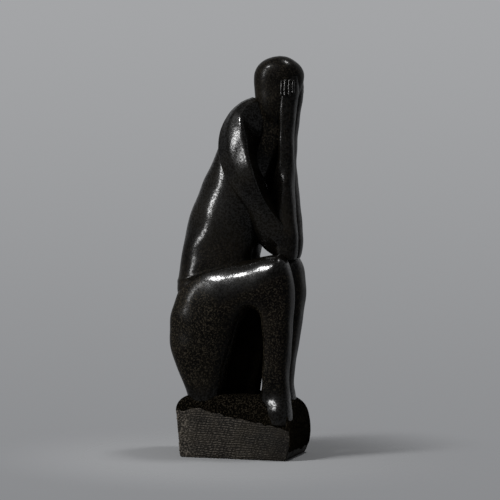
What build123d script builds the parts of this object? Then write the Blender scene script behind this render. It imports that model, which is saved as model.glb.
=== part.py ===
from build123d import *
import os

# A thinker carved in dark stone: a seated figure with its elbows on its knees and its face
# in its hands, on a block whose sides are left rough. +X is the way the figure faces, +Z is
# up, and the origin is the middle of the block's underside. All sizes are in millimetres.

# Rough block
base_length = 119.6
base_depth = 75.0
base_back_height = 47.0  # top of the rough side behind the figure
base_toe_height = 31.0  # top of the rough side below the toes
base_belly_height = 30.0  # height at which the block is widest
base_foot_inset = 6.5  # how far the underside stands back from the widest outline
base_corner_radius = 5.0

# Polished mound on top of the block
mound_margin = 0.6  # step between the rough side and the polished top
mound_back_height = 65.0
mound_toe_height = 60.5

# Legs: each thigh runs from the block round the hip to the knee
hip_reach = 72.0  # back of the hip, behind the block's middle
knee_reach = 56.0  # front of the knee, ahead of the block's middle
leg_height = 141.0  # from the mound under the feet to the top of the knee
leg_width = 46.0
leg_spacing = 40.0
ankle_setback = 8.0  # how much further back the left ankle stands than the right
foot_length = 42.0
foot_width = 31.0
toe_inset = 0.5  # from the end of the block back to the tip of the foot
sole_depth = 24.0  # how far the foot runs down into the mound before it is trimmed

# Stone left standing between the legs
web_thickness = 20.0
web_reach = 15.0  # front edge of the web at the mound, ahead of the block's middle
web_height = 95.0
web_lean = 17.0  # how much further forward the web's front edge is at its top
web_sink = 10.0  # how far the web's foot starts below the mound under the feet

# Torso
torso_depth = 96.0
torso_width = 60.0
waist_inset = 6.0  # how far the small of the back stands in from the hip
waist_drop = 44.0  # how far the torso runs down behind the knee's height

# Arms
forearm_length = 136.0  # elbow to wrist
forearm_depth = 20.0
forearm_width = 17.0
arm_spacing = 17.0
knee_overhang = 9.0  # from the front of the knee back to the forearm's middle
elbow_sink = 1.5  # how deep the elbow is bedded in the knee
shoulder_spacing = 56.0
shoulder_reach = 18.0  # back of the shoulder, behind the block's middle
shoulder_drop = 30.0  # from the fingertips down to the top of the shoulder
upper_arm_width = 32.0

# Hands
hand_length = 42.0
hand_depth = 23.5
hand_width = 17.5
finger_count = 4
finger_length = 15.0
finger_tip_gap = 2.0  # from the fingertips up to the brow
finger_spread_share = 0.85  # of the hand's depth, taken up by the fingers together
finger_radius_share = 0.46  # of the distance from one finger to the next

# Head
head_length = 51.0
head_width = 39.0
head_height = 62.0
forehead_height = 22.0  # brow to crown
brow_overhang = 3.0  # how far the forehead stands out past the hands
neck_length = 40.0
neck_sink = 12.0  # how far the neck runs up into the head
neck_depth = 28.0
neck_width = 30.0

# How full the sections are: where their diagonal points stand, as a share of their half sizes
leg_fullness = 0.76
torso_fullness = 0.75
arm_fullness = 0.79
head_fullness = 0.73

# Places that follow from the sizes above
knee_height = mound_toe_height + leg_height
elbow_height = knee_height - elbow_sink
wrist_height = elbow_height + forearm_length
fingertip_height = wrist_height + hand_length
crown_height = fingertip_height + forehead_height
chin_height = crown_height - head_height
forearm_x = knee_reach - knee_overhang
toe_x = base_length / 2 - toe_inset
waist_height = knee_height - waist_drop
nape_height = chin_height + neck_sink
shoulder_height = fingertip_height - shoulder_drop
face_x = forearm_x - hand_depth / 2
head_front = forearm_x + hand_depth / 2 + brow_overhang
head_back = head_front - head_length
finger_pitch = hand_depth * finger_spread_share / finger_count
finger_radius = finger_pitch * finger_radius_share
right = -1
left = 1

# The rough block's side from the underside up: (height, inset), in shares of the belly's
# height and the foot's inset.
base_shares = (
    (0.00, 1.00),
    (0.18, 0.35),
    (1.00, 0.00),
    (2.00, 0.00),
)
# The line where the rough side ends: (place along the block, height from toe to back).
shelf_shares = (
    (-0.60, 1.00),
    (-0.50, 1.00),
    (-0.31, 1.18),
    (-0.14, 1.00),
    (0.03, 0.64),
    (0.18, 0.51),
    (0.50, 0.00),
    (0.60, 0.00),
)
# The mound's sections: (share of the block's outline, share of the rise from the rough edge).
mound_shares = (
    (0.97, 0.46),
    (0.88, 0.80),
    (0.65, 0.98),
)
# Each section of a leg is its outer and inner edge in the side view, then half its thickness
# across the figure: (outer x, outer z, inner x, inner z, half thickness).
thigh_shares = (
    (0.148, -0.073, 0.430, -0.059, 0.413),
    (0.117, 0.052, 0.445, 0.052, 0.450),
    (0.070, 0.195, 0.473, 0.181, 0.467),
    (0.027, 0.346, 0.512, 0.318, 0.478),
    (0.013, 0.472, 0.555, 0.444, 0.480),
    (0.031, 0.605, 0.594, 0.549, 0.480),
    (0.094, 0.738, 0.629, 0.615, 0.478),
    (0.227, 0.864, 0.656, 0.643, 0.480),
    (0.430, 0.934, 0.680, 0.654, 0.487),
    (0.641, 0.972, 0.703, 0.652, 0.491),
    (0.820, 1.007, 0.727, 0.642, 0.487),
    (0.938, 1.010, 0.746, 0.622, 0.457),
    (0.988, 0.955, 0.760, 0.594, 0.420),
)
# The lower leg goes on from the thigh's last section.
shin_shares = (
    (1.006, 0.850, 0.770, 0.556, 0.370),
    (1.008, 0.710, 0.777, 0.486, 0.337),
    (1.000, 0.542, 0.780, 0.388, 0.311),
    (0.987, 0.374, 0.780, 0.283, 0.296),
    (0.973, 0.209, 0.775, 0.167, 0.289),
    (0.971, 0.082, 0.767, 0.068, 0.298),
)
# Sections of the foot below the ankle: (height, toe, heel, half thickness).
foot_shares = (
    (0.70, 0.88, 0.15, 0.47),
    (0.34, 0.98, 0.06, 0.50),
    (0.00, 0.93, 0.00, 0.45),
)
# Sections of the torso: (back x, back z, front x, front z, half thickness).
torso_shares = (
    (0.050, 0.000, 0.760, 0.060, 0.430),
    (0.000, 0.050, 0.790, 0.148, 0.467),
    (0.010, 0.169, 0.844, 0.236, 0.492),
    (0.042, 0.273, 0.875, 0.314, 0.500),
    (0.089, 0.377, 0.896, 0.408, 0.492),
    (0.161, 0.480, 0.927, 0.506, 0.480),
    (0.240, 0.584, 0.990, 0.605, 0.463),
    (0.323, 0.673, 1.052, 0.699, 0.442),
    (0.411, 0.761, 1.115, 0.792, 0.400),
    (0.536, 0.855, 1.135, 0.875, 0.358),
    (0.677, 0.938, 1.083, 0.938, 0.308),
    (0.781, 0.990, 1.062, 0.979, 0.233),
)
# Sections of the upper arm from the collar over the shoulder to the elbow, with the distance
# from the figure's middle as a share of the shoulder spacing before the half thickness.
upper_arm_shares = (
    (0.373, 1.061, 0.560, 0.993, 0.170, 0.156),
    (0.233, 1.027, 0.547, 0.946, 0.312, 0.297),
    (0.100, 0.953, 0.560, 0.872, 0.437, 0.422),
    (0.000, 0.824, 0.547, 0.784, 0.509, 0.453),
    (-0.020, 0.696, 0.533, 0.689, 0.536, 0.437),
    (0.080, 0.541, 0.553, 0.601, 0.518, 0.406),
    (0.260, 0.419, 0.613, 0.517, 0.437, 0.390),
    (0.427, 0.290, 0.693, 0.416, 0.339, 0.297),
    (0.560, 0.149, 0.787, 0.318, 0.268, 0.219),
    (0.733, 0.020, 0.920, 0.196, 0.214, 0.156),
)
# Sections of the forearm: (height, back, front, half thickness), from the elbow up.
forearm_shares = (
    (0.000, -0.35, 0.45, 0.440),
    (0.030, -0.50, 0.51, 0.518),
    (0.125, -0.60, 0.55, 0.553),
    (0.243, -0.72, 0.50, 0.565),
    (0.368, -0.85, 0.41, 0.559),
    (0.470, -0.90, 0.33, 0.541),
    (0.566, -0.75, 0.26, 0.524),
    (0.662, -0.50, 0.23, 0.512),
    (0.772, -0.39, 0.23, 0.506),
    (0.897, -0.37, 0.28, 0.506),
    (1.000, -0.37, 0.36, 0.506),
)
# Sections of the hand above the wrist.
hand_shares = (
    (0.50, -0.50, 0.50, 0.50),
    (0.88, -0.46, 0.49, 0.47),
    (1.00, -0.30, 0.36, 0.32),
)
# Sections of the head from the chin to the crown.
head_shares = (
    (0.000, 0.20, 0.68, 0.33),
    (0.050, 0.14, 0.75, 0.385),
    (0.177, 0.08, 0.83, 0.436),
    (0.306, 0.045, 0.89, 0.460),
    (0.450, 0.015, 0.94, 0.474),
    (0.600, 0.000, 0.985, 0.492),
    (0.726, 0.025, 1.00, 0.495),
    (0.839, 0.093, 0.92, 0.449),
    (0.927, 0.21, 0.80, 0.346),
    (0.980, 0.36, 0.67, 0.205),
    (1.000, 0.47, 0.56, 0.070),
)
neck_shares = (
    (0.00, -0.50, 0.50, 0.50),
    (0.50, -0.46, 0.46, 0.46),
    (1.00, -0.44, 0.44, 0.44),
)


def between(low, high, share):
    """The place that lies at a share of the way from low to high."""
    return low + (high - low) * share


def carved_form(stations, fullness):
    """One rounded form through oval sections, each square to the side view, made as a stack
    of bands with straight cuts from one section to the next.
    A station is (x, z, x, z, side y, half thickness), from one edge to the other."""
    diagonal = ((fullness, fullness), (-fullness, fullness), (-fullness, -fullness), (fullness, -fullness))
    straight = ((1, 0), (0, 1), (-1, 0), (0, -1))
    outline = [point for pair in zip(straight, diagonal) for point in pair]
    with BuildPart() as form:
        for band in zip(stations, stations[1:]):
            for start_x, start_z, end_x, end_z, side_y, half_thickness in band:
                chord = Vector(end_x - start_x, 0, end_z - start_z)
                middle = ((start_x + end_x) / 2, side_y, (start_z + end_z) / 2)
                oval = [(chord.length / 2 * along, half_thickness * across) for along, across in outline]
                with BuildSketch(Plane(middle, x_dir=chord, z_dir=chord.cross(Vector(0, 1, 0)))):
                    with BuildLine():
                        Spline(*oval, periodic=True)
                    make_face()
            loft()
    return form.part


def own_side(side):
    """The half of space that the right or the left of a pair of limbs keeps to."""
    return Keep.TOP if side == right else Keep.BOTTOM


def slanted_plane(length, back_height, toe_height):
    """A plane that falls from the back of the block to the toes."""
    fall = Vector(length, 0, toe_height - back_height)
    middle = (0, 0, (back_height + toe_height) / 2)
    return Plane(middle, x_dir=fall, z_dir=fall.cross(Vector(0, 1, 0)))


def finish(piece, name):
    """Labels a finished piece and writes it to its own file."""
    piece.part.label = name
    export_step(piece.part, f"parts/{name}.step")


# All the space above the line where the rough side ends.
shelf_line = [
    (base_length * place, between(base_toe_height, base_back_height, rise)) for place, rise in shelf_shares
]
with BuildPart() as above_shelf:
    with BuildSketch(Plane.XZ):
        with BuildLine():
            Polyline(
                *shelf_line,
                (shelf_line[-1][0], 2 * mound_back_height),
                (shelf_line[0][0], 2 * mound_back_height),
                close=True,
            )
        make_face()
    extrude(amount=base_depth, both=True)

# The rough block: narrower at its foot, with a ragged top that falls towards the toes.
with BuildPart() as base_block:
    for height, inset in base_shares:
        foot_inset = base_foot_inset * inset
        with BuildSketch(Plane.XY.offset(base_belly_height * height)):
            RectangleRounded(base_length - 2 * foot_inset, base_depth - 2 * foot_inset, base_corner_radius)
    loft(ruled=True)
    add(above_shelf.part, mode=Mode.SUBTRACT)

# The polished mound, rising steeply from the rough edge and flattening where the figure sits.
with BuildPart() as base_top:
    with BuildSketch(Plane.XY.offset(base_toe_height / 2)):
        RectangleRounded(base_length - 2 * mound_margin, base_depth - 2 * mound_margin, base_corner_radius)
    for outline, rise in mound_shares:
        back_height = between(base_back_height, mound_back_height, rise)
        toe_height = between(base_toe_height, mound_toe_height, rise)
        slope_length = ((base_length * outline) ** 2 + (back_height - toe_height) ** 2) ** 0.5
        with BuildSketch(slanted_plane(base_length * outline, back_height, toe_height)):
            RectangleRounded(slope_length, base_depth * outline, base_corner_radius)
    loft(ruled=True)
    add(above_shelf.part, mode=Mode.INTERSECT)

# The web of stone left standing between the legs, which closes the arch under each thigh.
with BuildPart() as leg_web:
    with BuildSketch(Plane.XZ):
        with BuildLine():
            Polyline(
                (-hip_reach / 2, mound_toe_height - web_sink),
                (web_reach, mound_toe_height - web_sink),
                (web_reach + web_lean, mound_toe_height + web_height),
                (-hip_reach / 2, mound_toe_height + web_height),
                close=True,
            )
        make_face()
    extrude(amount=web_thickness / 2, both=True)
    add(base_top.part, mode=Mode.SUBTRACT)


def leg_stations(side, shares, setback=0):
    """Sections of one leg, which leans back from the knee down by up to the setback."""
    return [
        (
            between(-hip_reach, knee_reach, outer_x) - setback * (1 - outer_z),
            between(mound_toe_height, knee_height, outer_z),
            between(-hip_reach, knee_reach, inner_x) - setback * (1 - outer_z),
            between(mound_toe_height, knee_height, inner_z),
            side * leg_spacing / 2,
            leg_width * half,
        )
        for outer_x, outer_z, inner_x, inner_z, half in shares
    ]


def shin_stations(side):
    """Sections of the lower leg; only the left one leans back."""
    return leg_stations(side, shin_shares, ankle_setback if side == left else 0)


def thigh_part(side):
    """Hip, buttock and thigh in one sweep from the block round to the knee."""
    with BuildPart() as thigh:
        add(carved_form(leg_stations(side, thigh_shares), leg_fullness))
        split(bisect_by=Plane.XZ, keep=own_side(side))
        for neighbour in (base_top, base_block, leg_web):
            add(neighbour.part, mode=Mode.SUBTRACT)
    return thigh


def shin_part(side):
    """The lower leg, from under the knee to the ankle."""
    knee = leg_stations(side, thigh_shares)[-1]
    with BuildPart() as shin:
        add(carved_form([knee, *shin_stations(side)], leg_fullness))
        add(leg_web.part, mode=Mode.SUBTRACT)
    return shin


def foot_part(side):
    """A plain wedge of a foot that spreads from the ankle on to the mound."""
    ankle = shin_stations(side)[-1]
    stations = [ankle]
    for height, toe, heel, half in foot_shares:
        level = between(mound_toe_height - sole_depth, ankle[1], height)
        stations.append(
            (
                toe_x - foot_length * (1 - toe),
                level,
                toe_x - foot_length * (1 - heel),
                level,
                side * leg_spacing / 2,
                foot_width * half,
            )
        )
    with BuildPart() as foot:
        add(carved_form(stations, leg_fullness))
        for neighbour in (base_top, base_block):
            add(neighbour.part, mode=Mode.SUBTRACT)
    return foot


right_thigh = thigh_part(right)
left_thigh = thigh_part(left)
right_shin = shin_part(right)
left_shin = shin_part(left)
right_foot = foot_part(right)
left_foot = foot_part(left)

# A short neck, sunk between the shoulders and the head, which are hollowed out round it.
neck_x = (head_back + face_x) / 2
with BuildPart() as neck:
    add(
        carved_form(
            [
                (
                    neck_x + neck_depth * back,
                    nape_height + neck_length * (height - 1),
                    neck_x + neck_depth * front,
                    nape_height + neck_length * (height - 1),
                    0,
                    neck_width * half,
                )
                for height, back, front, half in neck_shares
            ],
            head_fullness,
        )
    )

# The torso leans from the hips up to the nape, and sits between and on the thighs.
torso_back = -hip_reach + waist_inset
with BuildPart() as torso:
    add(
        carved_form(
            [
                (
                    torso_back + torso_depth * back_x,
                    between(waist_height, nape_height, back_z),
                    torso_back + torso_depth * front_x,
                    between(waist_height, nape_height, front_z),
                    0,
                    torso_width * half,
                )
                for back_x, back_z, front_x, front_z, half in torso_shares
            ],
            torso_fullness,
        )
    )
    for neighbour in (right_thigh, left_thigh, leg_web, neck):
        add(neighbour.part, mode=Mode.SUBTRACT)


def upper_arm_part(side):
    """Shoulder and upper arm in one sweep from the collar down to the elbow."""
    elbow_front = forearm_x + forearm_depth / 2
    with BuildPart() as upper_arm:
        add(
            carved_form(
                [
                    (
                        between(-shoulder_reach, elbow_front, back_x),
                        between(elbow_height, shoulder_height, back_z),
                        between(-shoulder_reach, elbow_front, front_x),
                        between(elbow_height, shoulder_height, front_z),
                        side * shoulder_spacing * out,
                        upper_arm_width * half,
                    )
                    for back_x, back_z, front_x, front_z, out, half in upper_arm_shares
                ],
                arm_fullness,
            )
        )
        split(bisect_by=Plane.XZ, keep=own_side(side))
        for neighbour in (torso, neck, right_thigh, left_thigh):
            add(neighbour.part, mode=Mode.SUBTRACT)
    return upper_arm


def forearm_stations(side):
    """Sections of the forearm from the elbow up to the wrist."""
    return [
        (
            forearm_x + forearm_depth * back,
            between(elbow_height, wrist_height, height),
            forearm_x + forearm_depth * front,
            between(elbow_height, wrist_height, height),
            side * arm_spacing / 2,
            forearm_width * half,
        )
        for height, back, front, half in forearm_shares
    ]


def forearm_part(side, upper_arm):
    """The forearm, standing on the knee and pressed against its pair."""
    with BuildPart() as forearm:
        add(carved_form(forearm_stations(side), arm_fullness))
        split(bisect_by=Plane.XZ, keep=own_side(side))
        for neighbour in (torso, neck, upper_arm, right_thigh, left_thigh):
            add(neighbour.part, mode=Mode.SUBTRACT)
    return forearm


def hand_part(side):
    """The flat of the hand, from the wrist up to the brow."""
    stations = [forearm_stations(side)[-1]]
    for height, back, front, half in hand_shares:
        level = between(wrist_height, fingertip_height, height)
        stations.append(
            (
                forearm_x + hand_depth * back,
                level,
                forearm_x + hand_depth * front,
                level,
                side * arm_spacing / 2,
                hand_width * half,
            )
        )
    with BuildPart() as hand:
        add(carved_form(stations, arm_fullness))
        split(bisect_by=Plane.XZ, keep=own_side(side))
        for neighbour in (torso, neck):
            add(neighbour.part, mode=Mode.SUBTRACT)
    return hand


def fingers_part(side, hand):
    """Fingers carved in relief on the back of the hand, each a round-ended bar."""
    root_height = fingertip_height - finger_tip_gap - finger_length
    with BuildPart() as fingers:
        for number in range(finger_count):
            offset = (number - (finger_count - 1) / 2) * finger_pitch
            bulge = (1 - (offset / (hand_depth / 2)) ** 2) ** 0.5
            outside = arm_spacing / 2 + hand_width / 2 * bulge
            root = (forearm_x + offset, side * outside, root_height)
            with Locations(root):
                Cylinder(
                    finger_radius,
                    finger_length - finger_radius,
                    align=(Align.CENTER, Align.CENTER, Align.MIN),
                )
            with Locations((root[0], root[1], root_height + finger_length - finger_radius)):
                Sphere(finger_radius)
        add(hand.part, mode=Mode.SUBTRACT)
    return fingers


right_upper_arm = upper_arm_part(right)
left_upper_arm = upper_arm_part(left)
right_forearm = forearm_part(right, right_upper_arm)
left_forearm = forearm_part(left, left_upper_arm)
right_hand = hand_part(right)
left_hand = hand_part(left)
right_fingers = fingers_part(right, right_hand)
left_fingers = fingers_part(left, left_hand)

# The head is an egg whose face is pressed into the hands, under an overhanging brow.
with BuildPart() as head:
    add(
        carved_form(
            [
                (
                    between(head_back, head_front, back_x),
                    between(chin_height, crown_height, height),
                    between(head_back, head_front, front_x),
                    between(chin_height, crown_height, height),
                    0,
                    head_width * half,
                )
                for height, back_x, front_x, half in head_shares
            ],
            head_fullness,
        )
    )
    with Locations((face_x, 0, fingertip_height)):
        Box(
            head_length,
            2 * head_width,
            head_height,
            align=(Align.MIN, Align.CENTER, Align.MAX),
            mode=Mode.SUBTRACT,
        )
    for neighbour in (torso, neck, right_upper_arm, left_upper_arm):
        add(neighbour.part, mode=Mode.SUBTRACT)

os.makedirs("parts", exist_ok=True)
finish(base_block, "base_block")
finish(base_top, "base_top")
finish(leg_web, "leg_web")
finish(torso, "torso")
finish(neck, "neck")
finish(head, "head")
finish(right_thigh, "right_thigh")
finish(left_thigh, "left_thigh")
finish(right_shin, "right_shin")
finish(left_shin, "left_shin")
finish(right_foot, "right_foot")
finish(left_foot, "left_foot")
finish(right_upper_arm, "right_upper_arm")
finish(left_upper_arm, "left_upper_arm")
finish(right_forearm, "right_forearm")
finish(left_forearm, "left_forearm")
finish(right_hand, "right_hand")
finish(left_hand, "left_hand")
finish(right_fingers, "right_fingers")
finish(left_fingers, "left_fingers")
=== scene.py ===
import bpy
import numpy as np
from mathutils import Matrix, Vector


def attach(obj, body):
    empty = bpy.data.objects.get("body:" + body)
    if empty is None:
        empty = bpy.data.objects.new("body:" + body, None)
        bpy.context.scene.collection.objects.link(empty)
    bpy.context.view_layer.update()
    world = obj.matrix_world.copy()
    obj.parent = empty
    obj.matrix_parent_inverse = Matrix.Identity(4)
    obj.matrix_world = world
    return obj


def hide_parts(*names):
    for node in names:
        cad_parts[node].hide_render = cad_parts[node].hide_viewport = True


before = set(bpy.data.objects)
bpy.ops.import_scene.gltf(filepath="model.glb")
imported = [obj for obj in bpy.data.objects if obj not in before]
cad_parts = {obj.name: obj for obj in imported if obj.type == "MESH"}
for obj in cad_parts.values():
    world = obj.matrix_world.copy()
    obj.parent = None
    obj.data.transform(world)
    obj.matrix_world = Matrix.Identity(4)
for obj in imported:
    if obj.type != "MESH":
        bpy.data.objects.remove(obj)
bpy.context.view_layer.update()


# Rough block. The lower part of the boulder that the figure is carved from: black stone left as
# the claw chisel dressed it, in ragged rows along the sides and hammered at the ends, flat below.
# Sizes are in millimetres, here and in the sections that follow, apart from the studio's.
mm = 0.001
block_half_length = 60.8
block_half_depth = 38.0
block_squareness = 40.0
block_edge_places = [-60, -54.5, -38, -22, -10, 5.6, 26.6, 40.5, 57, 58.5, 60.2]
block_edge_heights = [47, 48.4, 50.2, 47.3, 44.3, 41.2, 38.3, 35.4, 31.4, 30, 10]
edge_waver = 0.7
chip_depth = 1.6
chip_rarity = 0.5
foot_rounding = 3.5
foot_inset = 0.7 * foot_rounding
undercut_depth = 1.0
undercut_height = 40.0
back_lean = 3.5
toe_belly_depth = 6.0
toe_belly_height = 30.0
chisel_pitch = 2.3
chisel_depth = 0.5
chisel_slope = 0.05
groove_wander = 0.5
groove_wobble = 0.25
groove_stretch = [0.9, 0.9, 1]
break_sharpness = 0.7
break_floor = 0.35
hammer_fullness = 0.7
hammered_middle = 4.0
hammered_reach = (42.0, 54.0)
uneven_depth = 0.4
flat_sole_height = 2.0
toe_fading = 0.5
# Share of the toe end that is rubbed smooth of tool marks; the dark, unbruised stone left there is
# also painted shade on the end turned from the lamps.
toe_rubbing_and_shade = 0.75
toe_patchiness = 0.5
# The paler lip under the ragged edge is bruised chipped stone together with a painted highlight along
# the edge.
lip_start = 0.93
lip_bruise_and_highlight = 0.9
lip_share = 0.7
lip_patchiness = 0.6
dust_black = (0.004, 0.0034, 0.0027, 1)
dust_brown = (0.011, 0.009, 0.0063, 1)
bruise_grey = (0.07, 0.061, 0.05, 1)


class Wire:
    """One value on its way through a material. Sums and products of wires and numbers add Math
    nodes; node() adds any other node, and gives back a wire from one of its outputs."""

    def __init__(self, tree, socket=None):
        self.tree = tree
        self.socket = socket

    def node(self, kind, settings=None, sockets=None, output=0):
        made = self.tree.nodes.new(kind)
        for name, value in (settings or {}).items():
            setattr(made, name, value)
        for name, value in (sockets or {}).items():
            if isinstance(value, Wire):
                self.tree.links.new(value.socket, made.inputs[name])
            else:
                made.inputs[name].default_value = value
        return Wire(self.tree, made.outputs[output])

    def maths(self, operation, first, second):
        return self.node("ShaderNodeMath", {"operation": operation}, {0: first, 1: second})

    def __add__(self, other):
        return self.maths("ADD", self, other)

    def __radd__(self, other):
        return self.maths("ADD", other, self)

    def __sub__(self, other):
        return self.maths("SUBTRACT", self, other)

    def __rsub__(self, other):
        return self.maths("SUBTRACT", other, self)

    def __mul__(self, other):
        return self.maths("MULTIPLY", self, other)

    def __rmul__(self, other):
        return self.maths("MULTIPLY", other, self)

    def between(self, low, high):
        """0 below low and 1 above high, with an eased rise from one to the other."""
        settings = {"interpolation_type": "SMOOTHSTEP"}
        return self.node("ShaderNodeMapRange", settings, {"Value": self, 1: low, 2: high})

    def tint(self, start, end):
        """The colour that lies this share of the way from start to end."""
        return self.node("ShaderNodeMix", {"data_type": "RGBA"}, {"Factor": self, 6: start, 7: end}, 2)


def new_stone(name, **fixed):
    """An empty stone material: its shader with the fixed values set, a wire of object places, and
    a wire of the share of bare, chisel-struck stone that the piece's mesh carries."""
    stone = bpy.data.materials.new(name)
    stone.use_nodes = True
    shader = stone.node_tree.nodes["Principled BSDF"]
    for socket, value in fixed.items():
        shader.inputs[socket.replace("_", " ")].default_value = value
    place = Wire(stone.node_tree).node("ShaderNodeTexCoord", output="Object")
    struck = place.node("ShaderNodeAttribute", {"attribute_name": "struck"}, None, "Fac")
    return stone, shader, place, struck


def cloud(place, size, detail=3.0, roughness=0.55):
    """Soft noise from 0 to 1, whose lumps are about this many millimetres across."""
    sockets = {"Vector": place, "Scale": 1 / (size * mm), "Detail": detail, "Roughness": roughness}
    return place.node("ShaderNodeTexNoise", None, sockets)


def finish_stone(shader, colour, roughness, height, depth):
    """Joins the worked-out colour, roughness and relief, in millimetres of depth, to the shader."""
    relief = {"Height": height, "Distance": depth * mm, "Strength": 1.0}
    bump = height.node("ShaderNodeBump", None, relief)
    for socket, wire in (("Base Color", colour), ("Roughness", roughness), ("Normal", bump)):
        wire.tree.links.new(wire.socket, shader.inputs[socket])


def dressed_stone():
    """Chiselled stone: bruised grey high spots, brown dust in the hollows, no gloss."""
    stone, shader, place, struck = new_stone("rough_stone", Specular_IOR_Level=0.1)
    grain = cloud(place, size=1.1, detail=4.0, roughness=0.7)
    dust = cloud(place, size=16.0).between(0.35, 0.7).tint(dust_black, dust_brown)
    bruise = (struck * 0.6 + grain * 1.1 - 0.5).between(0.2, 0.8)
    roughness = 0.45 + struck * 0.3 + grain * 0.2
    finish_stone(shader, bruise.tint(dust, bruise_grey), roughness, grain, depth=0.5)
    return stone


def rising(value, start, end):
    """0 at start and 1 at end, straight between them and level beyond; end may be the lower."""
    return np.clip((value - start) / (end - start), 0, 1)


def ripple(places, size, seed):
    """Smooth unevenness from about -1 to 1: a sum of ten sine waves of about this wavelength, in
    directions and phases drawn from a fixed seed."""
    count = 10
    draw = np.random.default_rng(seed)
    waves = draw.normal(size=(count, 3))
    waves *= 2 * np.pi / size / np.linalg.norm(waves, axis=1, keepdims=True)
    waves *= draw.uniform(0.7, 1.4, (count, 1))
    phases = draw.uniform(0, 2 * np.pi, count)
    return np.sin(places @ waves.T + phases).sum(axis=-1) / np.sqrt(count)


def outward(grid):
    """Unit normals of a closed form: the cross product of its steps along and around, turned away
    from each row's middle."""
    along = np.gradient(grid, axis=0)
    around = np.roll(grid, -1, axis=1) - np.roll(grid, 1, axis=1)
    normal = np.cross(along, around)
    normal /= np.maximum(np.linalg.norm(normal, axis=-1, keepdims=True), 1e-9)
    from_middle = grid - grid.mean(axis=1, keepdims=True)
    return normal * np.sign((normal * from_middle).sum())


def closed_skin(name, grid, struck=None, first=0, last=None):
    """A closed mesh over a grid of millimetre places, or over its rows from first to last. Rows
    follow the form, columns go round it and join up, and a fan closes each end row on its middle.
    Faces are turned outwards, and normals are the whole form's, so that cuts don't show. Struck
    is a grid of shares of bare stone, kept on the mesh for its material."""
    facing = outward(grid)
    last = len(grid) - 1 if last is None else last
    grid = grid[first:last + 1]
    facing = facing[first:last + 1]
    rows, columns = grid.shape[:2]
    points = np.concatenate([grid.reshape(-1, 3), grid[[0, -1]].mean(axis=1)]) * mm
    here = np.arange(columns)
    after = (here + 1) % columns
    row = np.arange(rows - 1)[:, None] * columns
    next_row = row + columns
    walls = np.stack([row + here, row + after, next_row + after, next_row + here], -1).reshape(-1, 4)
    far = (rows - 1) * columns
    start_fan = np.stack([np.full(columns, rows * columns), after, here], -1)
    end_fan = np.stack([np.full(columns, rows * columns + 1), far + here, far + after], -1)
    corners = points[walls]
    spans = np.cross(corners[:, 2] - corners[:, 0], corners[:, 3] - corners[:, 1])
    inside_out = (spans * facing[:-1].reshape(-1, 3)).sum() < 0
    turn = slice(None, None, -1) if inside_out else slice(None)
    faces = [*walls[:, turn].tolist(), *start_fan[:, turn].tolist(), *end_fan[:, turn].tolist()]
    mesh = bpy.data.meshes.new(name)
    mesh.from_pydata(points.tolist(), [], faces)
    mesh.shade_smooth()
    caps = facing[[0, -1]].mean(axis=1)
    mesh.normals_split_custom_set_from_vertices(np.concatenate([facing.reshape(-1, 3), caps]).tolist())
    if struck is not None:
        values = np.concatenate([struck[first:last + 1].ravel(), struck[[first, last]].mean(axis=1)])
        mesh.attributes.new("struck", "FLOAT", "POINT").data.foreach_set("value", values)
    mesh.update()
    piece = bpy.data.objects.new(name, mesh)
    bpy.context.scene.collection.objects.link(piece)
    return piece


def place_piece(piece, stone, slot, *nodes):
    """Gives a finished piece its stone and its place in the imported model."""
    piece.data.materials.append(stone)
    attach(piece, "root")
    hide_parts(*nodes)


def block_plan(columns):
    """The block's outline seen from above: |x / a|^n + |y / b|^n = 1, at even steps of its length."""
    turn = np.linspace(0, 2 * np.pi, 4001)
    n = block_squareness
    reach = (np.abs(np.cos(turn)) ** n + np.abs(np.sin(turn)) ** n) ** (-1 / n)
    x = block_half_length * reach * np.cos(turn)
    y = block_half_depth * reach * np.sin(turn)
    length = np.concatenate([[0], np.hypot(np.diff(x), np.diff(y)).cumsum()])
    even = np.linspace(0, length[-1], columns, endpoint=False)
    return np.interp(even, length, x), np.interp(even, length, y)


def edge_line(x):
    """Height at which polishing stops, falling towards the toes."""
    return np.interp(x, block_edge_places, block_edge_heights)


def edge_height(x, y):
    """The same line as it was broken: it wavers, and chips are out of it where a second ripple
    passes a limit."""
    places = np.stack([x, y, np.zeros_like(x)], -1)
    chips = np.maximum(0, ripple(places, size=7, seed=4) - chip_rarity)
    return edge_line(x) + edge_waver * ripple(places, size=14, seed=3) - chip_depth * chips


def toe_belly(x, z):
    """How far the toe end draws in towards its foot: the square of the way down from the belly's
    height, times the cube of the way out to the toe end."""
    down = rising(z, toe_belly_height, 0)
    return toe_belly_depth * down**2 * rising(x, 0, block_half_length) ** 3


def outline_normal(x, y):
    """Unit normals of the plan, from its steps to both neighbours turned a quarter round."""
    along_x = np.gradient(np.concatenate([x[-1:], x, x[:1]]))[1:-1]
    along_y = np.gradient(np.concatenate([y[-1:], y, y[:1]]))[1:-1]
    length = np.hypot(along_x, along_y)
    return along_y / length, -along_x / length


def tool_marks(places, rubbed_and_shaded):
    """How high each place stands in the tooling, from 0 to 1: along the sides the grooves are |sin|
    of the height over the pitch, with breaks in them; at the ends they give way to hammered
    lumps. Marks are fainter towards the toes, and fainter where the toe end is rubbed smooth,
    which also leaves that end dark as painted shade."""
    x, y, z = np.moveaxis(places, -1, 0)
    wander = groove_wander * ripple(places, size=20, seed=5)
    wander += groove_wobble * ripple(places, size=6, seed=10)
    groove = np.abs(np.sin(np.pi * (z + chisel_slope * (x - y) + wander) / chisel_pitch))
    breaks = ripple(places * groove_stretch, size=chisel_pitch, seed=6)
    whole = np.clip(0.5 + break_sharpness * breaks, 0, 1)
    hammered = np.abs(ripple(places, size=3.0, seed=7)) ** hammer_fullness
    ends = rising(np.abs(x - hammered_middle), *hammered_reach)
    struck = (1 - ends) * groove * (break_floor + (1 - break_floor) * whole) + ends * hammered
    return struck * (1 - rubbed_and_shaded) * (1 - toe_fading * rising(x, 0, block_half_length))


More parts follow.
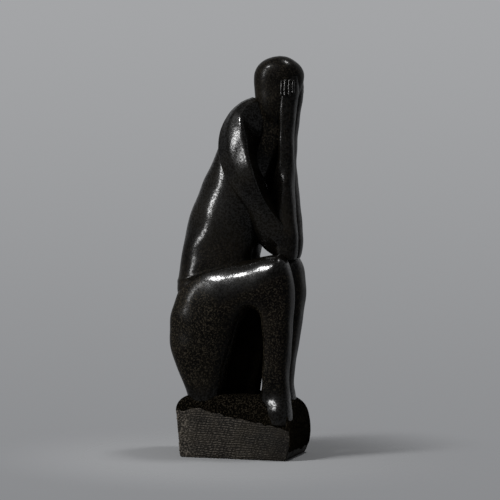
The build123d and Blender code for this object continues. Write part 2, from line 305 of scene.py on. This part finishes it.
def dressed_block(columns, rows):
    """The block's side, round the plan and up to the ragged edge: it swells from a rounded foot,
    leans in at the back and draws in at the toes, and the tool marks are pressed in along the
    outline's normal. Also gives the shares of struck stone, with a paler lip at the edge that is
    bruised chipped stone and also a painted highlight."""
    x, y = block_plan(columns)
    out_x, out_y = outline_normal(x, y)
    rise = np.linspace(0, 1, rows)[:, None]
    z = rise * edge_height(x, y)[None, :]
    places = np.stack(np.broadcast_arrays(x, y, z), -1)
    # The toe end is rubbed smooth and kept unbruised and dark: the darkness there is painted shade on
    # the end turned from the lamps.
    patches = np.clip(toe_rubbing_and_shade - toe_patchiness * ripple(places, size=12, seed=12), 0, 1)
    rubbed_and_shaded = np.clip(out_x, 0, 1) * patches
    struck = tool_marks(places, rubbed_and_shaded)
    sink = chisel_depth * (1 - struck) * (1 - rubbed_and_shaded)
    sink += uneven_depth * ripple(places, size=22, seed=8) + uneven_depth
    sink *= rising(z, 0, flat_sole_height)
    sink += undercut_depth * rising(z, undercut_height, 0) ** 1.5
    sink += foot_inset * (1 - np.sqrt(1 - rising(z, foot_rounding, 0) ** 2))
    lean = back_lean * (1 - rise) * rising(x, 0, -block_half_length) ** 3
    grid = np.stack([x + lean - toe_belly(x, z) - out_x * sink, y - out_y * sink, z], -1)
    # Paler lip: bruised chipped stone, and also a painted highlight where the top edge catches the
    # light.
    lip = np.clip(lip_share + lip_patchiness * ripple(places, size=6, seed=9), 0, 1)
    chipped_lip_and_highlight = lip_bruise_and_highlight * rising(rise, lip_start, 1) * lip * (1 - rubbed_and_shaded)
    return grid, np.maximum(struck, chipped_lip_and_highlight)


block_grid, block_struck = dressed_block(columns=760, rows=110)
rough_block = closed_skin("rough_block", block_grid, block_struck)
place_piece(rough_block, dressed_stone(), "rough_stone", "base_block")


# Rubbed mound. The ground under the figure, worked smooth in the same stone but not waxed: it
# swells from the block's ragged edge to a low dome, higher under the seat than under the toes.
mound_places = [-60, -30, 0, 25, 40, 50, 60]
mound_heights = [63, 64.5, 63.5, 62, 60, 58, 57]
mound_fullness = 8.0
mound_setback = 0.4
mound_drop = 0.3
ragged_power = 60
ring_spread = 0.8
smallest_ring = 0.01
skirt_share = 0.9
skirt_drop = 4.0
mound_struck = 0.9
stone_black = (0.0008, 0.00065, 0.0005, 1)
stone_brown = (0.003, 0.0024, 0.0015, 1)
speck_brown = (0.0205, 0.0169, 0.0116, 1)
pit_spacing = 2.0


def polished_stone(name, polish, wax):
    """Black stone rubbed by hand: brown clouds, paler specks, fine dark pits. Wax lies over it in
    grains, clear of the pits. Where the piece's mesh says that the stone is struck, there is less
    wax and more of the specks show."""
    fixed = {"Specular_IOR_Level": polish, "Coat_Roughness": 0.15, "Coat_IOR": 1.5}
    stone, shader, place, struck = new_stone(name, **fixed)
    brown = cloud(place, size=42.0).between(0.42, 0.72)
    grain = cloud(place, size=2.0, detail=2.0)
    dust = cloud(place, size=1.7, detail=3.0, roughness=0.7)
    cells = {"Vector": place, "Scale": 1 / (pit_spacing * mm), "Randomness": 1.0}
    nearness = place.node("ShaderNodeTexVoronoi", None, cells, "Distance")
    pits = (1 - nearness.between(0.12, 0.42)) * grain.between(0.42, 0.58)
    bare = struck * struck
    specks = dust.between(0.5, 0.64) * (0.1 + 0.9 * bare * bare)
    colour = specks.tint(brown.tint(stone_black, stone_brown), speck_brown)
    shine = wax * (1 - 0.8 * struck) * (1 - pits) * (0.2 + 0.8 * grain.between(0.42, 0.56))
    shine.tree.links.new(shine.socket, shader.inputs["Coat Weight"])
    roughness = 0.25 + 0.15 * dust + 0.05 * brown + 0.3 * pits
    height = grain * 0.6 + dust * 0.15 - pits * 0.7
    finish_stone(shader, colour, roughness, height, depth=0.12)
    return stone


def mound_dome(columns, rows):
    """The dome over the block's plan: at share r of the way out it stands at
    edge + rise * sqrt(1 - r^n), so it is broad on top and steep at the edge. A high power of r
    brings in the broken edge at the rim, and a skirt goes down inside the block."""
    x, y = block_plan(columns)
    x = x * (1 - mound_setback / block_half_length)
    y = y * (1 - mound_setback / block_half_depth)
    smooth_edge = edge_line(x)
    broken = edge_height(x, y) - mound_drop - smooth_edge
    inwards = np.linspace(0, np.pi / 2, rows)[:, None]
    share = np.maximum(np.cos(inwards) ** ring_spread, smallest_ring)
    top = np.interp(share * x, mound_places, mound_heights)
    z = smooth_edge + (top - smooth_edge) * np.sqrt(1 - share**mound_fullness)
    z += broken * share**ragged_power
    grid = np.stack([share * x - toe_belly(share * x, z), share * y, z], -1)
    skirt = np.stack([x * skirt_share, y * skirt_share, smooth_edge - skirt_drop], -1)[None]
    return np.concatenate([skirt, grid])


rubbed_ground = polished_stone("rubbed_ground", polish=0.0, wax=0.0)
mound_grid = mound_dome(columns=420, rows=90)
mound = closed_skin("polished_mound", mound_grid, np.full(mound_grid.shape[:2], mound_struck))
place_piece(mound, rubbed_ground, "polished_stone", "base_top")


# Web of stone between the legs. The carver left a slab standing under the seat and behind the
# shins, which ties the legs together. It is rubbed but not waxed, and its front edge leans forward.
web_stations = [
    [-36, 50, 14, 50, 0, 10, 6, 0],
    [-36, 75, 17, 75, 0, 10, 6, 0],
    [-34, 100, 22, 100, 0, 10, 6, 0],
    [-30, 130, 28, 130, 0, 10, 6, 0],
    [-28, 160, 32, 160, 0, 10, 6, 0],
]


def smooth_run(stations, rows):
    """Rows along a form: a cubic through listed stations, whose slope at each station is half
    the step between its neighbours, read at even steps of the stations' numbers."""
    stations = np.asarray(stations, float)
    slopes = np.gradient(stations, axis=0)
    place = np.linspace(0, len(stations) - 1, rows)
    before = np.minimum(place.astype(int), len(stations) - 2)
    t = (place - before).reshape(-1, *[1] * (stations.ndim - 1))
    return (
        stations[before] * (2 * t**3 - 3 * t**2 + 1)
        + slopes[before] * (t**3 - 2 * t**2 + t)
        + stations[before + 1] * (3 * t**2 - 2 * t**3)
        + slopes[before + 1] * (t**3 - t**2)
    )


def oval_form(stations, rows, columns, side=1):
    """Ovals along a form. A station gives a section's two ends in the side view (x, z, x, z), the
    middle and half of its thickness across the figure, its squareness n and its egg share e: the
    section is |u|^n + |v|^n = 1, with u running from end to end and v across, and its width
    grows as 1 + e * u. Side -1 is the right."""
    run = smooth_run(stations, rows)[:, None, :]
    start_x, start_z, end_x, end_z, middle, half_width, n, egg = np.moveaxis(run, -1, 0)
    turn = np.linspace(0, 2 * np.pi, columns, endpoint=False)[None, :]
    reach = (np.abs(np.cos(turn)) ** n + np.abs(np.sin(turn)) ** n) ** (-1 / n)
    u = reach * np.cos(turn)
    v = reach * np.sin(turn)
    x = (start_x + end_x) / 2 + (end_x - start_x) / 2 * u
    z = (start_z + end_z) / 2 + (end_z - start_z) / 2 * u
    y = side * (middle + half_width * v * (1 + egg * u))
    return np.stack([x, y, z], -1)


def hand_worn(grid, depth, size, seed):
    """Moves a form in and out along its normals by the slight waves that hand rubbing leaves."""
    return grid + outward(grid) * (depth * ripple(grid, size, seed))[..., None]


web_grid = hand_worn(oval_form(web_stations, rows=80, columns=160), depth=0.5, size=16, seed=11)
web = closed_skin("leg_web_stone", web_grid)
place_piece(web, rubbed_ground, "polished_stone", "leg_web")


# Legs. Each is one rubbed form from the seat up over the thigh, round the knee and down the shin
# to a foot that spreads into the mound. The tops of the thighs and the feet are waxed to a shine;
# the hips and shins below the streak of wax are duller.
leg_stations = [
    [-48, 48, -17, 50, 20, 15, 2.4, 0],
    [-53.5, 66, -15, 66, 20, 17, 2.4, 0],
    [-62.3, 88, -11.5, 86, 20.5, 19.5, 2.4, 0],
    [-68.5, 108, -6.5, 104, 21, 21, 2.4, 0],
    [-69.9, 126, -1, 122, 21, 21, 2.4, 0],
    [-68, 145, 4, 137, 21, 21, 2.4, 0],
    [-59.5, 168, 8.5, 144, 20.5, 20.5, 2.4, 0.12],
    [-43, 184.5, 12, 147.5, 20.5, 20.5, 2.3, 0.22],
    [-17, 192, 15, 148.7, 20.5, 20.5, 2.2, 0.26],
    [10, 197.5, 18, 148.5, 20.5, 20.8, 2.2, 0.22],
    [33, 202.5, 21, 147.3, 20.8, 20.8, 2.3, 0.14],
    [45.5, 202.5, 23.5, 145, 21, 20, 2.6, 0.06],
    [52, 194.5, 25.3, 142, 21, 18.5, 2.8, 0],
    [55.8, 181, 26.6, 138, 21, 16.8, 3.2, 0],
    [57, 160, 27.4, 128, 21, 15.2, 3.4, 0],
    [56, 136, 27.8, 114, 21, 14, 3.5, 0],
    [54.3, 112, 27.8, 99, 21, 13.3, 3.5, 0],
    [52.6, 90, 27.2, 84, 21, 13, 3.3, 0],
    [52.3, 73, 26.2, 71, 21, 12.3, 3, 0],
    [54.5, 61, 23.5, 61, 21, 13.4, 2.7, 0],
    [56.5, 48, 20, 48, 21, 17, 2.7, 0],
    [57, 36, 18, 36, 21, 16.6, 3.4, 0],
]
knee_station = 12
leg_rows = 440
knee_row = 260
ankle_row = 378
leg_cuts = (("thigh", 0, knee_row), ("shin", knee_row, ankle_row), ("foot", ankle_row, leg_rows - 1))
left_ankle_setback = 8.0
setback_heights = (165.0, 65.0)
foot_splay = 0.3
splay_heights = (70.0, 54.0)
splay_place = 40.0
streak_place = -14.5
streak_height = 165.0
streak_climb_ahead = 0.47
streak_climb_behind = -1.3
streak_blend = 14.0
foot_wax_heights = (58.0, 72.0)
sides = (("right", -1), ("left", 1))
waxed = polished_stone("waxed_stone", polish=0.04, wax=0.65)


def leg_form(side):
    """One leg's grid: the left ankle is set back, and each foot turns outwards, by a share of its
    way ahead of the ankle that comes in below the shin."""
    stations = np.array(leg_stations)
    if side > 0:
        lowered = rising(stations[:, 1], *setback_heights) * (np.arange(len(stations)) > knee_station)
        stations[:, 0] -= left_ankle_setback * lowered
        stations[:, 2] -= left_ankle_setback * lowered
    grid = oval_form(stations, leg_rows, columns=128, side=side)
    grid = hand_worn(grid, depth=0.35, size=30, seed=21 + side)
    lowered = rising(grid[..., 2], *splay_heights) * (np.arange(leg_rows) > knee_row)[:, None]
    grid[..., 1] += side * foot_splay * (grid[..., 0] - splay_place) * lowered
    return grid


def leg_struck(grid):
    """Share of bare stone on a leg: it grows downwards from a line that climbs both ways from the
    streak's place, and goes again at the feet."""
    ahead = grid[..., 0] - streak_place
    climb = np.where(ahead > 0, streak_climb_ahead * ahead, streak_climb_behind * ahead)
    under_streak = streak_height + climb - grid[..., 2]
    return rising(under_streak, 0, streak_blend) * rising(grid[..., 2], *foot_wax_heights)


for side_name, side in sides:
    grid = leg_form(side)
    struck = leg_struck(grid)
    for name, first, last in leg_cuts:
        piece = closed_skin(f"{side_name}_{name}_stone", grid, struck, first, last)
        place_piece(piece, waxed, "polished_stone", f"{side_name}_{name}")


# Torso. A plain bent back, flattened at the sides, cut off along the thighs in a crisp crease and
# hollowed away in front behind the forearms; waxed most on the back, less at the waist and chest.
torso_stations = [
    [-59, 146, -6, 168, 0, 31, 3.2, -0.15],
    [-65.5, 166, 10, 186, 0, 31, 3.2, -0.15],
    [-63.8, 188, 15, 203, 0, 30.5, 2.9, -0.08],
    [-61.8, 210, 18, 218, 0, 30, 2.5, 0.02],
    [-58, 230, 20, 236, 0, 29.5, 2.3, 0.1],
    [-51.3, 250, 23, 255, 0, 28.8, 2.2, 0.1],
    [-43, 270, 29, 274, 0, 27.8, 2.2, 0.05],
    [-34, 287, 35, 292, 0, 26, 2.3, -0.1],
    [-26.5, 304, 41, 310, 0, 21, 2.8, -0.3],
    [-18, 322, 43, 326, 0, 16, 3, -0.4],
    [-9, 339, 43, 338, 0, 14, 3, -0.4],
    [1, 351, 41, 346, 0, 12, 2.6, -0.35],
    [11, 357.5, 36, 352, 0, 7.5, 2.4, -0.2],
]
crease_height = 190
crease_slope = 0.28
hem_height = 0.6
hem_width = 2.2
hem_rise = 1.4
waist_struck = 0.75
waist_heights = (240.0, 210.0)
chest_places = (2.0, 14.0)
chest_heights = (285.0, 305.0)


def hemmed(grid):
    """Raises a rounded hem just above the crease, which climbs forward along the thighs: the skin
    moves out by a bell curve of the height over the crease line."""
    over = grid[..., 2] - crease_height - crease_slope * grid[..., 0]
    swell = hem_height * np.exp(-(over / hem_width - hem_rise) ** 2)
    return grid + outward(grid) * swell[..., None]


def torso_struck(grid):
    """Share of bare stone on the torso: below the waist, and in front at the chest."""
    waist = waist_struck * rising(grid[..., 2], *waist_heights)
    chest = rising(grid[..., 0], *chest_places) * rising(grid[..., 2], *chest_heights)
    return np.maximum(waist, chest)


torso_grid = oval_form(torso_stations, rows=420, columns=180)
torso_grid = hemmed(hand_worn(torso_grid, depth=0.4, size=34, seed=31))
torso_skin = closed_skin("torso_stone", torso_grid, torso_struck(torso_grid))
place_piece(torso_skin, waxed, "polished_stone", "torso")


# Upper arms. Each is planed flat on its outer face, with crisp ridges: it comes off the collar,
# rounds the shoulder and runs down to the elbow, with a keel along its underside.
upper_arm_corners = [
    [[10, -6, 359], [14, -10, 358.5], [18.5, -13, 355.5], [26, -9, 346], [10, -5, 347]],
    [[-1, -11, 353.5], [3, -18, 353], [8.5, -22, 350], [27, -9, 338], [3, -8, 338]],
    [[-11.4, -16, 343], [-3.5, -26, 343], [7, -31, 340], [27, -10, 327], [-4, -8, 323]],
    [[-19.7, -21, 324.5], [-8, -32.2, 325], [11.3, -37.5, 325.5], [24, -12, 313], [-9, -12, 305]],
    [[-20.4, -25, 305], [-5, -35.9, 306], [15.8, -41.5, 308.5], [21, -13, 299.6], [-6, -14, 285]],
    [[-12.5, -28, 282], [1.5, -37.9, 285.5], [20.6, -43, 291], [22.7, -14, 287.6], [0, -14, 262]],
    [[1.5, -30, 264], [10.5, -37.9, 270.5], [24.3, -42, 278], [27.8, -14, 275.5], [8, -12, 236]],
    [[15.5, -28, 250.5], [22.5, -34.5, 256], [29.5, -36, 261.5], [33.7, -11, 261.4], [14, -10, 217]],
    [[29, -22.5, 230], [32.5, -25, 238], [36.2, -26, 246], [40.4, -9, 249.4], [24, -9, 205]],
    [[45, -16, 206], [48, -16, 216], [51, -15.5, 226], [50, -6, 232], [38, -6, 197]],
]
ridge_softness = 3
softening_passes = 2


def ridged_form(corners, rows, columns, side):
    """A form with ridges: each station gives the corners of a section on the right side, a cubic
    carries every corner along, straight runs join corner to corner, and passes of a running mean
    over neighbouring columns round the ridges."""
    run = smooth_run(corners, rows)
    count = run.shape[1]
    place = np.arange(columns) * count / columns
    before = place.astype(int)
    t = (place - before)[None, :, None]
    grid = run[:, before] * (1 - t) + run[:, (before + 1) % count] * t
    shifts = range(-ridge_softness, ridge_softness + 1)
    for _ in range(softening_passes):
        grid = sum(np.roll(grid, shift, axis=1) for shift in shifts) / len(shifts)
    return grid * [1, -side, 1]


for side_name, side in sides:
    grid = ridged_form(upper_arm_corners, rows=260, columns=128, side=side)
    grid = hand_worn(grid, depth=0.3, size=26, seed=41 + side)
    arm = closed_skin(f"{side_name}_upper_arm_stone", grid)
    place_piece(arm, waxed, "polished_stone", f"{side_name}_upper_arm")


# Forearms and hands. They stand side by side on the knees as two straight bars with flattened
# outer faces, and end in hands laid over the face; their wax is thin.
forearm_stations = [
    [40, 198.5, 56, 198.5, 9, 7.5, 3, 0],
    [37, 204, 57.3, 204, 9, 8.8, 3.2, 0],
    [35, 217, 58, 217, 8.8, 9.4, 3.2, 0],
    [32.5, 233, 57, 233, 8.8, 9.6, 3.2, 0.05],
    [30, 250, 55.2, 250, 8.7, 9.3, 3, 0.25],
    [29, 264, 53.6, 264, 8.6, 8.8, 3, 0.42],
    [32, 277, 52.2, 277, 8.5, 8.7, 3, 0.35],
    [37, 290, 51.6, 290, 8.4, 8.6, 3, 0.05],
    [39.3, 305, 51.6, 305, 8.4, 8.6, 3, 0],
    [39.6, 322, 52.6, 322, 8.4, 8.6, 3, 0],
    [39.6, 340, 55, 340, 8.4, 8.6, 3, 0],
    [39.8, 358, 57.6, 358, 8.5, 8.8, 3, 0],
    [41, 370, 58.8, 370, 8.5, 8.4, 2.8, 0],
    [44, 380, 58.5, 380, 8.3, 6.2, 2.6, 0],
]
forearm_rows = 280
wrist_row = 205
forearm_cuts = (("forearm", 0, wrist_row), ("hand", wrist_row, forearm_rows - 1))
forearm_struck = 0.6
right_swell = 2.5
right_swell_height = 296.0
right_swell_reach = 30.0


def forearm_form(side):
    """One forearm and hand: the right one swells forward by a bell curve of its height."""
    stations = np.array(forearm_stations)
    if side < 0:
        over = stations[:, 3] - right_swell_height
        stations[:, 2] += right_swell * np.exp(-(over / right_swell_reach) ** 2)
    grid = oval_form(stations, forearm_rows, columns=120, side=side)
    return hand_worn(grid, depth=0.3, size=24, seed=51 + side)


for side_name, side in sides:
    grid = forearm_form(side)
    struck = np.full(grid.shape[:2], forearm_struck)
    for name, first, last in forearm_cuts:
        piece = closed_skin(f"{side_name}_{name}_stone", grid, struck, first, last)
        place_piece(piece, waxed, "polished_stone", f"{side_name}_{name}")


# Fingers. Four to a hand, cut in low relief across its outer face: round-ended ridges with a
# groove between each pair.
finger_middles = [44.6, 48.2, 52.3, 55.6]
finger_half_widths = [1.7, 2.1, 2.1, 1.7]
finger_roots = [360, 359, 360, 362]
finger_tips = [376.5, 377.5, 377.5, 376.5]
finger_outer = [18.5, 18.4, 17.8, 16.3]
finger_bluntness = 7
finger_thinnest = 0.0004
finger_root_out = 0.4
finger_lean = 1.6
finger_half_height = 2.1
knuckle_swell = 0.06


def finger_form(middle, half_width, root, tip, outer, side):
    """A round bar with domed ends, leaning in towards its tip: with h from -1 at the root to 1 at
    the tip its width goes as sqrt(1 - |h|^n), with a slight wave for the knuckles."""
    rise = np.linspace(0, 1, 40)[:, None]
    eased = (1 - np.cos(np.pi * rise)) / 2
    turn = np.linspace(0, 2 * np.pi, 32, endpoint=False)[None, :]
    swell = np.clip(1 - np.abs(2 * eased - 1) ** finger_bluntness, finger_thinnest, 1) ** 0.5
    swell = swell * (1 + knuckle_swell * np.cos(4 * np.pi * eased))
    x = middle + half_width * swell * np.cos(turn)
    out = outer + finger_root_out - finger_lean * eased
    y = side * (out + finger_half_height * swell * np.sin(turn))
    z = root + (tip - root) * eased + 0 * turn
    return np.stack([x, y, z], -1)


for side_name, side in sides:
    bars = []
    for measures in zip(finger_middles, finger_half_widths, finger_roots, finger_tips, finger_outer):
        bars.append(closed_skin(f"{side_name}_finger", finger_form(*measures, side)))
    with bpy.context.temp_override(active_object=bars[0], selected_editable_objects=bars):
        bpy.ops.object.join()
    bars[0].name = f"{side_name}_fingers_stone"
    place_piece(bars[0], waxed, "polished_stone", f"{side_name}_fingers")


# Neck and head. A short neck leans forward out of the collar into a smooth egg of a head, with no
# features cut in it where the hands cover the face. Both are rubbed, with little wax.
neck_stations = [
    [6, 318, 40, 312, 0, 8.5, 2.4, 0],
    [10, 333, 42, 326, 0, 9.5, 2.4, 0],
    [14, 348, 44, 341, 0, 11.5, 2.4, 0],
    [18, 364, 46, 356, 0, 13.5, 2.4, 0],
]
head_stations = [
    [24, 334, 42, 334, 0, 11, 2.3, 0],
    [18, 341, 49, 341, 0, 15, 2.3, 0],
    [15, 349, 53, 349, 0, 17, 2.3, 0],
    [13, 357, 56, 357, 0, 18, 2.3, 0],
    [11.6, 366, 58.5, 366, 0, 18.5, 2.2, 0],
    [11, 375, 61, 375, 0, 19.2, 2.2, 0],
    [12, 383, 61, 383, 0, 19.3, 2.2, 0],
    [15.5, 390, 57.5, 390, 0, 17.5, 2.2, 0],
    [21.5, 395.5, 51.5, 395.5, 0, 13.5, 2.2, 0],
    [29, 398.6, 45, 398.6, 0, 8, 2.1, 0],
    [36.5, 399.5, 37.5, 399.5, 0, 0.6, 2, 0],
]
head_struck = 0.8

rubbed_head = polished_stone("rubbed_head", polish=0.04, wax=0.3)
neck_skin = closed_skin("neck_stone", oval_form(neck_stations, rows=60, columns=96))
place_piece(neck_skin, rubbed_head, "polished_stone", "neck")
head_grid = hand_worn(oval_form(head_stations, rows=420, columns=160), depth=0.25, size=22, seed=61)
head_skin = closed_skin("head_stone", head_grid, np.full(head_grid.shape[:2], head_struck))
place_piece(head_skin, rubbed_head, "polished_stone", "head")


# Studio, in metres. A grey table top fades into grey paper, which is darker in front of the figure
# than behind it. A tall soft box stands behind the figure's back on the camera's side, with a small
# one above it and another overhead, and a long lens looks down a little at the knees.
floor_tone = (0.198, 0.201, 0.2055, 1)
floor_radius = 1.4
floor_thickness = 0.02
floor_fade = (0.08, 0.28)
underside_fade = (-0.75 * floor_thickness, -0.25 * floor_thickness)
paper_low = (0.24, 0.245, 0.255, 1)
paper_high = (0.385, 0.39, 0.40, 1)
paper_front = (0.21, 0.213, 0.218, 1)
camera_turn = np.radians(17)
camera_rise = np.radians(4)
camera_distance = 3.0
view_height = 0.206
view_shift = 0.006
view_width = 0.5
sensor_width = 36.0


def floor_slab():
    """A flat round slab: rings out from the middle of its top to the rim, and back underneath."""
    rings = 60
    out = np.linspace(0.001, 1, rings)
    reach = floor_radius * np.concatenate([out, out[::-1]])[:, None]
    under = np.repeat([0.0, floor_thickness], rings)[:, None]
    turn = np.linspace(0, 2 * np.pi, 96, endpoint=False)[None, :]
    return np.stack([reach * np.cos(turn), reach * np.sin(turn), 0 * turn - under], -1) / mm


def table_paint():
    """Dull grey that gives way to clear towards the rim and underneath, so that the surround shows
    through."""
    paint = bpy.data.materials.new("table_paint")
    paint.use_nodes = True
    tree = paint.node_tree
    tree.nodes.clear()
    start = Wire(tree)
    place = start.node("ShaderNodeTexCoord", output="Object")
    reach = start.node("ShaderNodeVectorMath", {"operation": "LENGTH"}, {0: place}, "Value")
    level = start.node("ShaderNodeSeparateXYZ", None, {0: place}, "Z")
    fade = start.maths("MAXIMUM", reach.between(*floor_fade), 1 - level.between(*underside_fade))
    dull = start.node("ShaderNodeBsdfDiffuse", None, {"Color": floor_tone})
    clear = start.node("ShaderNodeBsdfTransparent")
    mixed = start.node("ShaderNodeMixShader", None, {0: fade, 1: dull, 2: clear})
    output = tree.nodes.new("ShaderNodeOutputMaterial")
    tree.links.new(mixed.socket, output.inputs["Surface"])
    return paint


def soft_box(name, place, aim, width, height, power):
    """A lamp with a wide even face, turned to look at a point."""
    lamp = bpy.data.lights.new(name, "AREA")
    lamp.shape = "RECTANGLE"
    lamp.size = width
    lamp.size_y = height
    lamp.energy = power
    box = bpy.data.objects.new(name, lamp)
    box.location = place
    box.rotation_euler = (Vector(aim) - Vector(place)).to_track_quat("-Z", "Y").to_euler()
    bpy.context.scene.collection.objects.link(box)


def surround():
    """Grey paper all round, paler upwards and paler behind the figure than in front of it."""
    world = bpy.data.worlds.new("surround")
    world.use_nodes = True
    bpy.context.scene.world = world
    tree = world.node_tree
    tree.nodes.clear()
    start = Wire(tree)
    toward = start.node("ShaderNodeTexCoord", output="Generated")
    height = start.node("ShaderNodeSeparateXYZ", None, {0: toward}, "Z")
    behind = start.node("ShaderNodeSeparateXYZ", None, {0: toward}, "Y")
    paper = height.between(-0.2, 0.06).tint(paper_low, paper_high)
    paper = behind.between(0.1, 0.8).tint(paper_front, paper)
    glow = start.node("ShaderNodeBackground", None, {"Color": paper, "Strength": 1.0})
    output = tree.nodes.new("ShaderNodeOutputWorld")
    tree.links.new(glow.socket, output.inputs["Surface"])


def long_lens():
    """A camera far off, turned and raised from the figure's right side, that looks at its middle."""
    lens = bpy.data.cameras.new("camera")
    lens.sensor_width = sensor_width
    lens.lens = sensor_width * camera_distance / view_width
    camera = bpy.data.objects.new("camera", lens)
    toward_right = Vector((np.cos(camera_turn), np.sin(camera_turn), 0))
    level = np.cos(camera_rise)
    out = (np.sin(camera_turn) * level, -np.cos(camera_turn) * level, np.sin(camera_rise))
    toward_camera = Vector(out)
    target = Vector((0, 0, view_height)) + view_shift * toward_right
    camera.location = target + camera_distance * toward_camera
    camera.rotation_euler = toward_camera.to_track_quat("Z", "Y").to_euler()
    bpy.context.scene.collection.objects.link(camera)
    return camera


table = closed_skin("table_top", floor_slab())
table.data.materials.append(table_paint())
surround()
soft_box("side_box", (-0.86, -0.83, 0.65), aim=(0, 0, 0.3), width=0.26, height=0.6, power=14)
soft_box("top_box", (-0.62, -0.75, 1.2), aim=(0, 0, 0.22), width=0.2, height=0.2, power=15)
soft_box("crown_box", (0.35, 0.08, 1.5), aim=(0, 0, 0.3), width=0.16, height=0.16, power=10)
bpy.context.scene.camera = long_lens()
bpy.context.scene.view_settings.view_transform = "Standard"
